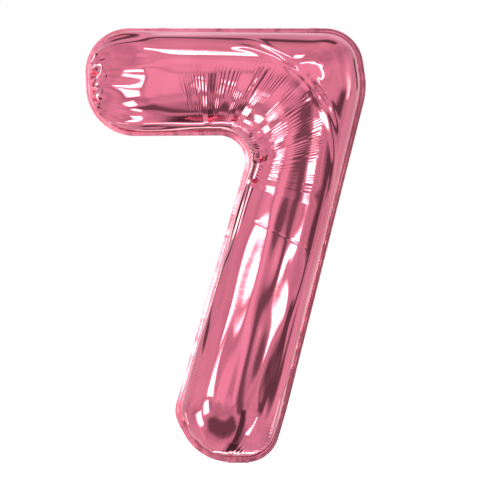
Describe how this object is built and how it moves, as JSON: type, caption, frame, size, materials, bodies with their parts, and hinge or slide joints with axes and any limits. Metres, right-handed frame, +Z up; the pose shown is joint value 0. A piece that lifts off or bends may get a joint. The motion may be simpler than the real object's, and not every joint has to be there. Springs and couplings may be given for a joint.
{
  "type": "foil number balloon",
  "caption": "Inflated metallic foil balloon shaped as the numeral seven, with a heat-sealed flange, flat valve, folding tail and hanging tabs.",
  "frame": {"origin": "middle of the neck on the flange's lower edge, in the seam's plane, where the tail folds", "axes": "+X to the numeral's right seen from the front, +Z up along the numeral's height, front faces -Y"},
  "size_m": [0.5552, 0.2168, 0.863],
  "materials": {
    "foil": "mirror-bright metallised nylon film, pink",
    "sealed_flange": "same film, fused flat and finely crimped",
    "valve_film": "clear polyethylene film",
    "release_ink": "heat-proof release ink"
  },
  "bodies": {
    "balloon": {"front_foil": "foil", "back_foil": "foil", "seam_seal": "sealed_flange", "valve_sleeve_front": "valve_film", "valve_sleeve_back": "valve_film", "valve_release_print": "release_ink"},
    "tail": {"tail_front_foil": "foil", "tail_back_foil": "foil", "tail_seal": "sealed_flange", "valve_mouth_front": "valve_film", "valve_mouth_back": "valve_film"},
    "left_tab": {"hang_tab_left": "sealed_flange"},
    "right_tab": {"hang_tab_right": "sealed_flange"}
  },
  "joints": [
    {"name": "tail_fold", "type": "hinge", "parent": "balloon", "child": "tail", "pos_m": [0, 0, -0.0012], "axis": [-1, 0, 0], "range_deg": [0, 150]},
    {"name": "left_tab_fold", "type": "hinge", "parent": "balloon", "child": "left_tab", "pos_m": [-0.15, 0, 0.8606], "axis": [1, 0, 0], "range_deg": [0, 90]},
    {"name": "right_tab_fold", "type": "hinge", "parent": "balloon", "child": "right_tab", "pos_m": [0.15, 0, 0.8606], "axis": [1, 0, 0], "range_deg": [0, 90]}
  ]
}
